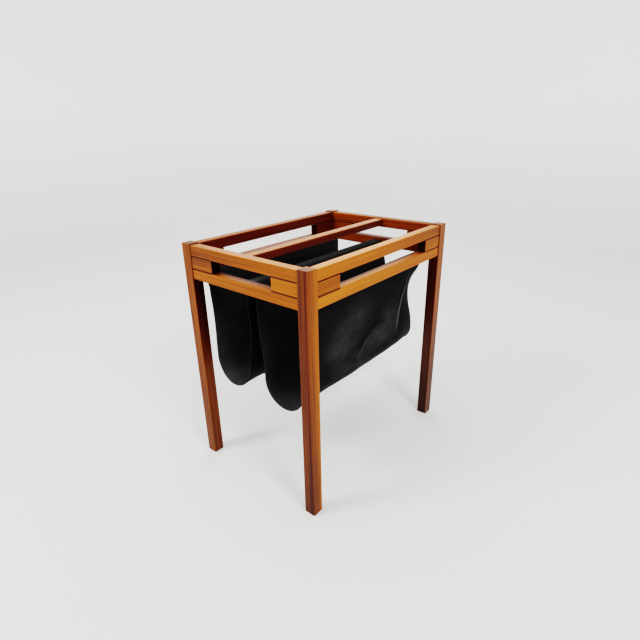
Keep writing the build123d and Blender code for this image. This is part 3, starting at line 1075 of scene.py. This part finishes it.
def dust_and_highlight_patches(hide):
    """Round patches, each with its centre and radii in millimetres and how thick it lies. Dust lies in them,
    and they also paint highlight where a wall bulges towards the light.
    """
    dust_and_highlight = 0.0
    for centre, radii, share in DUST_AND_HIGHLIGHT_PATCHES:
        scale = [1 / (radius * MM) for radius in radii]
        shift = [-middle / radius for middle, radius in zip(centre, radii)]
        dust_and_highlight = dust_and_highlight + (1 - hide.fade(hide.length(hide.place(scale, shift)), 0.0, 1.0)) * share
    return dust_and_highlight


# %% Leather finish
PEBBLE_SCALE, FINE_SCALE, CLOUD_SCALE = 850.0, 2300, 38
SMEAR_SCALES, SMEAR_SHIFT = (26, 26, 55), (3, 1, 7)
WRINKLE_SCALES, WRINKLE_SHIFT = (150, 150, 90), (1, 5, 2)


def black_leather(name, colour, low_colour, roughness, grain_depth, dust_and_light_share):
    """Black leather with grain and wrinkles. Dust and painted highlight lie in patches, wear and painted
    highlight along the creases and over the bar, and painted shade in the folds. It takes the low colour
    towards the pocket's floor, which on the fleshy side paints light there.
    """
    hide = Finish(name)
    pebble_size = {"Vector": hide.here(), "Scale": PEBBLE_SCALE}
    pebbles = hide.node("TexVoronoi", {"feature": "SMOOTH_F1"}, pebble_size, "Distance")
    fine = hide.noise(hide.here(), FINE_SCALE, 2)
    cloudy = hide.noise(hide.here(), CLOUD_SCALE, 5, 0.6)
    smears = hide.noise(hide.place(SMEAR_SCALES, SMEAR_SHIFT), 1.0, 6, 0.72)
    wrinkles = hide.noise(hide.place(WRINKLE_SCALES, WRINKLE_SHIFT), 1.0, 3, 0.6)
    crinkled = 1 - hide.fade(hide.maths("ABSOLUTE", wrinkles - 0.5), 0.0, 0.05)
    worn_and_lit_here = hide.mark("worn_and_lit") * dust_and_light_share
    fold_shade = hide.mark("fold_shade")

    plain = hide.mix(hide.fade(hide.height(), LOW_LEATHER, HIGH_LEATHER), low_colour, colour)
    # Mottling, and painted shade in the folds.
    shaded = hide.stain(plain, hide.fade(cloudy, 0.3, 0.7) * 0.5 + fold_shade * 0.5, MOTTLE_AND_FOLD_SHADE)
    specks = (0.4 + hide.fade(smears * 0.7 + cloudy * 0.3, 0.36, 0.68) * 0.9) * (0.6 + fine * 0.8)
    # Dust, and painted highlight on the bulges.
    dust_and_highlight = (worn_and_lit_here * 0.2 + dust_and_highlight_patches(hide)) * specks * (1 - fold_shade * 0.85)
    dusty_and_lit = hide.maths("MULTIPLY", dust_and_highlight, dust_and_light_share, clamp=True)
    # Wear, and painted highlight along the crest, the fold and over the bar.
    rubbed_and_lit = hide.fade(worn_and_lit_here * (0.5 + smears), 0.05, 1.1)
    relief = pebbles * 0.6 + fine * 0.25 - crinkled * 0.5
    return hide.finish(
        Base_Color=hide.mix(rubbed_and_lit, hide.mix(dusty_and_lit, shaded, DUST_AND_HIGHLIGHT), RUBBED_AND_LIT_HIDE),
        Roughness=roughness + cloudy * 0.12 + dusty_and_lit * 0.2 + fold_shade * 0.15,
        Normal=hide.bump(relief, grain_depth, 0.6),
        Specular_IOR_Level=0.06,
        Sheen_Weight=0.02,
        Sheen_Roughness=0.4,
    )


# %% Thicken and finish the sheet
# The fleshy side's second colour paints light low in the pockets.
LEATHER_SIDES = {
    "leather_smooth_side": (BLACK_HIDE, BLACK_HIDE, 0.50, 0.20 * MM, 1.0),
    "leather_flesh_side": (BLACK_FLESH, LIT_LOW_FLESH, 0.72, 0.12 * MM, 0.35),
    "leather_raw_edge": (RAW_EDGE, RAW_EDGE, 0.75, 0.10 * MM, 0.2),
}
SIDE_ORDER = {"material_offset": 1, "material_offset_rim": 2}
EDGE_BEVEL = 0.4 * MM


def add_modifier(piece, kind, **settings):
    """Adds a modifier and applies it."""
    bpy.context.view_layer.objects.active = piece
    modifier = piece.modifiers.new(kind.lower(), kind)
    for name, value in settings.items():
        setattr(modifier, name, value)
    bpy.ops.object.modifier_apply(modifier=modifier.name)


start_afresh()
sling.select_set(True)
for side_name, side_look in LEATHER_SIDES.items():
    sling.data.materials.append(black_leather(side_name, *side_look))
add_modifier(sling, "SOLIDIFY", thickness=LEATHER, offset=0, use_even_offset=True, **SIDE_ORDER)
add_modifier(sling, "BEVEL", width=EDGE_BEVEL, segments=2, limit_method="ANGLE", angle_limit=radians(60))
bpy.ops.object.shade_smooth_by_angle(angle=radians(50))
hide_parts("sling")
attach(sling, "root")
print(len(sling.data.polygons), "faces with both sides")

# %% [markdown]
# The hem's stitches
#
# A row of waxed thread closes each hem under its rod. A bump in the leather would only hint at it, so each
# stitch is a shape of its own: a small ball, drawn out along the rack so that its ends run down into the
# leather. An Array modifier repeats it along the hem, and each copy is then moved onto the leather's face.
# The seam shows on both faces, so each hem has two rows.

# %% A row of stitches
STITCH_LEVEL = rod.imag - 18.0 * MM
STITCH_PITCH = 6.0 * MM
STITCH_LENGTH = 4.6 * MM
THREAD_RADIUS = 0.45 * MM
STITCH_MARGIN = 5.0 * MM


def sew_row(side, face):
    """A row of stitches on a hem: face 1 on the tail outside, face -1 on the wall inside the pocket."""
    start_afresh()
    bpy.ops.mesh.primitive_uv_sphere_add(segments=8, ring_count=6, radius=THREAD_RADIUS)
    row = bpy.context.object
    bpy.ops.object.mode_set(mode="EDIT")
    bpy.ops.transform.resize(value=(STITCH_LENGTH / 2 / THREAD_RADIUS, 1, 1), center_override=(0, 0, 0))
    first = sling_low.x + STITCH_MARGIN + STITCH_PITCH / 2
    bpy.ops.transform.translate(value=(first, 0, STITCH_LEVEL))
    bpy.ops.object.mode_set(mode="OBJECT")
    add_modifier(
        row, "ARRAY",
        count=int((sling_high.x - sling_low.x - 2 * STITCH_MARGIN) / STITCH_PITCH),
        use_relative_offset=False,
        use_constant_offset=True,
        constant_offset_displace=(STITCH_PITCH, 0, 0),
    )
    near_rod = walls[side][NEAR_ROD]
    wall_at_seam = [np.interp(STITCH_LEVEL, line.imag[::-1], line.real[::-1]) for line in near_rod.T]
    face_gap = LEATHER + TAIL_GAP + LEATHER / 2 if face > 0 else -LEATHER / 2
    way = 1 if side == "back" else -1
    for vertex in row.data.vertices:
        vertex.co.y += way * (np.interp(vertex.co.x, along, wall_at_seam) + face_gap)
    bpy.ops.object.shade_smooth()
    return row


# %% Waxed thread
DARK_THREAD, PALE_THREAD = (0.012, 0.010, 0.009, 1), (0.045, 0.040, 0.036, 1)
TWIST_SCALES = (900, 500, 500)


def waxed_thread():
    """Dark waxed thread with the twist of its strands."""
    thread = Finish("waxed_thread")
    strands = {"Vector": thread.place(TWIST_SCALES), "Scale": 1.0, "Distortion": 0.5}
    twist = thread.node("TexWave", {}, strands, "Fac")
    return thread.finish(
        Base_Color=thread.mix(twist, DARK_THREAD, PALE_THREAD),
        Roughness=0.42 + twist * 0.2,
        Normal=thread.bump(twist, 0.1 * MM, 0.6),
    )


# %% Sew both hems
thread_finish = waxed_thread()
for side in walls:
    rows = [sew_row(side, face) for face in (1, -1)]
    start_afresh()
    for row in rows:
        row.select_set(True)
    bpy.context.view_layer.objects.active = rows[0]
    bpy.ops.object.join()
    seam = rows[0]
    seam.name = f"hem_stitches_{side}"
    seam.data.materials.append(thread_finish)
    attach(seam, "root")

# %% [markdown]
# Sizes
#
# A finish must never change the size of the rack. Here the script only leaves edit mode and deselects
# everything.

# %% Leave edit mode
start_afresh()
